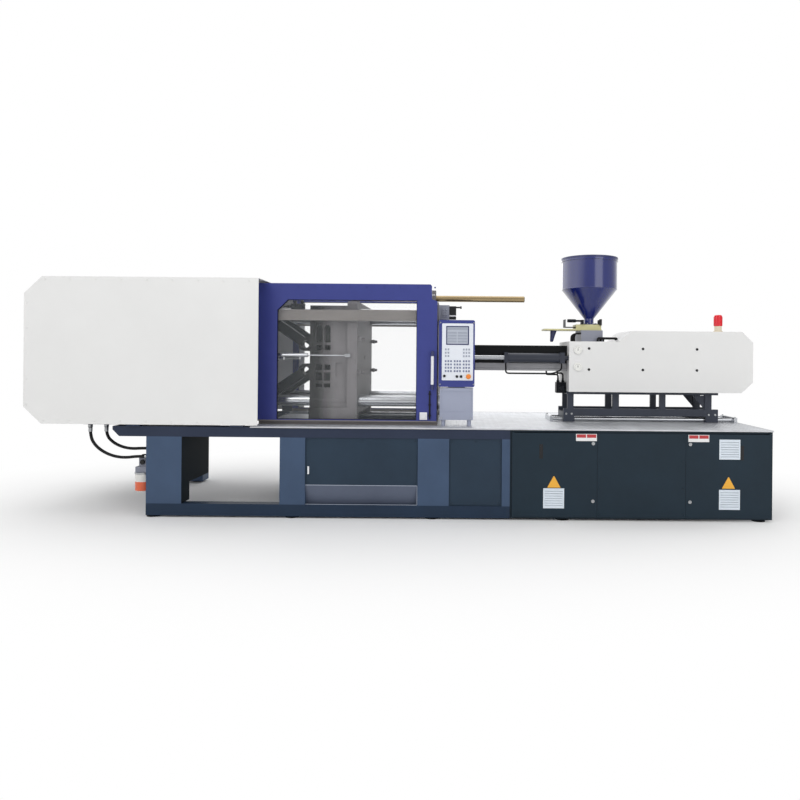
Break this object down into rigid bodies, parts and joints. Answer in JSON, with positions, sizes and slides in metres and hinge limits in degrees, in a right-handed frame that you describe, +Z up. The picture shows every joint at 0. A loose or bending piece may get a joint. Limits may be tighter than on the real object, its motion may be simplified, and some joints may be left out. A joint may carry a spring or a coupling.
{
  "type": "injection molding machine",
  "caption": "Horizontal toggle-clamp injection moulding machine with sliding safety gates, hopper, injection carriage and operator panel on a steel base.",
  "frame": {"origin": "on the floor, at the middle of the machine's plan", "axes": "+X from the clamp unit towards the injection unit, -Y the operator's side, +Z up"},
  "size_m": [6.85, 1.8, 2.502],
  "materials": {
    "base_paint": "semi-gloss",
    "panel_paint": "semi-gloss",
    "black_rubber": "matte",
    "deck_metal": "chequered, worn",
    "bright_steel": "ground",
    "cabinet_paint": "semi-gloss",
    "dark_steel": "oiled",
    "cast_paint": "satin",
    "cover_paint": "satin",
    "gate_paint": "gloss",
    "clear_pane": "clear",
    "handle_white": "gloss",
    "rail_paint": "satin",
    "safety_brass": "polished",
    "console_paint": "satin",
    "fascia_white": "satin",
    "screen_glass": "glossy",
    "stop_orange": "glossy",
    "stand_paint": "semi-gloss",
    "guard_paint": "satin",
    "gauge_black": "glossy",
    "slide_yellow": "satin",
    "hopper_blue": "gloss",
    "beacon_red": "glossy, translucent",
    "jar_plastic": "translucent",
    "hose_rubber": "satin"
  },
  "bodies": {
    "machine": {"base_frame": "base_paint", "base_panels": "panel_paint", "levelling_feet": "black_rubber", "deck_plate": "deck_metal", "machine_ways": "bright_steel", "cabinet_shell": "cabinet_paint", "fixed_platen": "cast_paint", "tie_bars": "bright_steel", "tail_platen": "cast_paint", "clamp_cylinder": "dark_steel", "clamp_cover": "cover_paint", "gate_rails": "rail_paint", "position_sensor": "bright_steel", "control_cabinet": "console_paint", "control_panel": "gate_paint", "control_fascia": "fascia_white", "control_screen": "screen_glass", "lubricator": "jar_plastic", "clamp_hose_outer": "hose_rubber", "clamp_hose_inner": "hose_rubber", "cabinet_equipment": "panel_paint"},
    "front_gate": {"front_gate": "gate_paint", "front_gate_window": "clear_pane", "front_gate_handle": "handle_white"},
    "rear_gate": {"rear_gate": "gate_paint", "rear_gate_window": "clear_pane"},
    "moving_platen": {"moving_platen": "cast_paint", "safety_rod": "safety_brass", "position_sensor_rod": "bright_steel"},
    "ejector": {"ejector": "bright_steel"},
    "crosshead": {"crosshead": "dark_steel"},
    "upper_rear_links": {"upper_rear_links": "dark_steel"},
    "lower_rear_links": {"lower_rear_links": "dark_steel"},
    "upper_front_links": {"upper_front_links": "dark_steel"},
    "lower_front_links": {"lower_front_links": "dark_steel"},
    "upper_crosshead_link": {"upper_crosshead_link": "dark_steel"},
    "lower_crosshead_link": {"lower_crosshead_link": "dark_steel"},
    "safety_lever": {"safety_lever": "dark_steel"},
    "carriage": {"injection_stand": "stand_paint", "feed_block": "cast_paint", "barrel": "bright_steel", "seat_cylinder": "dark_steel", "barrel_guard": "guard_paint", "injection_cover": "cover_paint", "pressure_gauges": "gauge_black", "hopper_base": "slide_yellow", "beacon": "beacon_red"},
    "screw_drive": {"screw_drive": "dark_steel"},
    "screw": {"screw": "bright_steel"},
    "hopper": {"hopper": "hopper_blue", "hopper_slide": "slide_yellow"},
    "hopper_lid": {"hopper_lid": "hopper_blue"},
    "hopper_shutter": {"hopper_shutter": "bright_steel"},
    "left_door": {"cabinet_door_left": "cabinet_paint"},
    "right_door": {"cabinet_door_right": "cabinet_paint"},
    "lock_left_top": {"door_lock_left_top": "dark_steel"},
    "lock_left_bottom": {"door_lock_left_bottom": "dark_steel"},
    "lock_right_top": {"door_lock_right_top": "dark_steel"},
    "lock_right_bottom": {"door_lock_right_bottom": "dark_steel"},
    "emergency_stop": {"emergency_stop": "stop_orange"}
  },
  "joints": [
    {"name": "front_gate_slide", "type": "slide", "parent": "machine", "child": "front_gate", "axis": [-1, 0, 0], "range_m": [0, 1.3]},
    {"name": "rear_gate_slide", "type": "slide", "parent": "machine", "child": "rear_gate", "axis": [-1, 0, 0], "range_m": [0, 1.3]},
    {"name": "platen_slide", "type": "slide", "parent": "machine", "child": "moving_platen", "axis": [1, 0, 0], "range_m": [-0.15, 0.25]},
    {"name": "crosshead_slide", "type": "slide", "parent": "machine", "child": "crosshead", "axis": [1, 0, 0], "range_m": [-0.114, 0.19]},
    {"name": "upper_rear_links_turn", "type": "hinge", "parent": "machine", "child": "upper_rear_links", "pos_m": [-1.77, 0, 1.585], "axis": [0, 1, 0], "range_deg": [-17, 28.2]},
    {"name": "upper_front_links_turn", "type": "hinge", "parent": "upper_rear_links", "child": "upper_front_links", "pos_m": [-1.5984, 0, 1.97928], "axis": [0, 1, 0], "range_deg": [-38.2, 23]},
    {"name": "lower_rear_links_turn", "type": "hinge", "parent": "machine", "child": "lower_rear_links", "pos_m": [-1.77, 0, 1.325], "axis": [0, 1, 0], "range_deg": [-28.2, 17]},
    {"name": "lower_front_links_turn", "type": "hinge", "parent": "lower_rear_links", "child": "lower_front_links", "pos_m": [-1.5984, 0, 0.93072], "axis": [0, 1, 0], "range_deg": [-23, 38.2]},
    {"name": "upper_crosshead_link_turn", "type": "hinge", "parent": "crosshead", "child": "upper_crosshead_link", "pos_m": [-1.51134, 0, 1.525], "axis": [0, 1, 0], "range_deg": [-18.2, 11]},
    {"name": "lower_crosshead_link_turn", "type": "hinge", "parent": "crosshead", "child": "lower_crosshead_link", "pos_m": [-1.51134, 0, 1.385], "axis": [0, 1, 0], "range_deg": [-11, 18.2]},
    {"name": "ejector_slide", "type": "slide", "parent": "moving_platen", "child": "ejector", "axis": [1, 0, 0], "range_m": [0, 0.12]},
    {"name": "safety_lever_turn", "type": "hinge", "parent": "machine", "child": "safety_lever", "pos_m": [0.15, -0.33, 2.097], "axis": [0, -1, 0], "range_deg": [0, 25]},
    {"name": "carriage_slide", "type": "slide", "parent": "machine", "child": "carriage", "axis": [1, 0, 0], "range_m": [-0.09, 0.16]},
    {"name": "screw_stroke", "type": "slide", "parent": "carriage", "child": "screw_drive", "axis": [1, 0, 0], "range_m": [0, 0.2]},
    {"name": "screw_turn", "type": "hinge", "parent": "screw_drive", "child": "screw", "pos_m": [2.3, 0, 1.455], "axis": [1, 0, 0], "continuous": true},
    {"name": "hopper_slide_travel", "type": "slide", "parent": "carriage", "child": "hopper", "axis": [-1, 0, 0], "range_m": [0, 0.25]},
    {"name": "hopper_shutter_slide", "type": "slide", "parent": "hopper", "child": "hopper_shutter", "axis": [-1, 0, 0], "range_m": [0, 0.09]},
    {"name": "hopper_lid_turn", "type": "hinge", "parent": "hopper", "child": "hopper_lid", "pos_m": [1.851, 0.302, 2.491], "axis": [-1, 0, 0], "range_deg": [0, 95]},
    {"name": "left_door_turn", "type": "hinge", "parent": "machine", "child": "left_door", "pos_m": [0.992, -0.882, 0.413], "axis": [0, 0, -1], "range_deg": [0, 120]},
    {"name": "right_door_turn", "type": "hinge", "parent": "machine", "child": "right_door", "pos_m": [3.32, -0.882, 0.413], "axis": [0, 0, 1], "range_deg": [0, 120]},
    {"name": "left_top_lock_turn", "type": "hinge", "parent": "left_door", "child": "lock_left_top", "pos_m": [1.716, -0.882, 0.7], "axis": [0, 1, 0], "range_deg": [0, 90]},
    {"name": "left_bottom_lock_turn", "type": "hinge", "parent": "left_door", "child": "lock_left_bottom", "pos_m": [1.716, -0.882, 0.18], "axis": [0, 1, 0], "range_deg": [0, 90]},
    {"name": "right_top_lock_turn", "type": "hinge", "parent": "right_door", "child": "lock_right_top", "pos_m": [2.591, -0.882, 0.7], "axis": [0, -1, 0], "range_deg": [0, 90]},
    {"name": "right_bottom_lock_turn", "type": "hinge", "parent": "right_door", "child": "lock_right_bottom", "pos_m": [2.591, -0.882, 0.18], "axis": [0, -1, 0], "range_deg": [0, 90]},
    {"name": "emergency_stop_push", "type": "slide", "parent": "machine", "child": "emergency_stop", "axis": [0, 1, 0], "range_m": [0, 0.006], "stiffness_N_per_m": 600}
  ],
  "couplings": [
    {"joint": "crosshead_slide", "follows": "platen_slide", "ratio": 0.755},
    {"joint": "upper_rear_links_turn", "follows": "platen_slide", "rad_per_m": 1.9548},
    {"joint": "lower_rear_links_turn", "follows": "platen_slide", "rad_per_m": -1.9548},
    {"joint": "upper_front_links_turn", "follows": "platen_slide", "rad_per_m": -2.6529},
    {"joint": "lower_front_links_turn", "follows": "platen_slide", "rad_per_m": 2.6529},
    {"joint": "upper_crosshead_link_turn", "follows": "platen_slide", "rad_per_m": -1.2566},
    {"joint": "lower_crosshead_link_turn", "follows": "platen_slide", "rad_per_m": 1.2566}
  ]
}
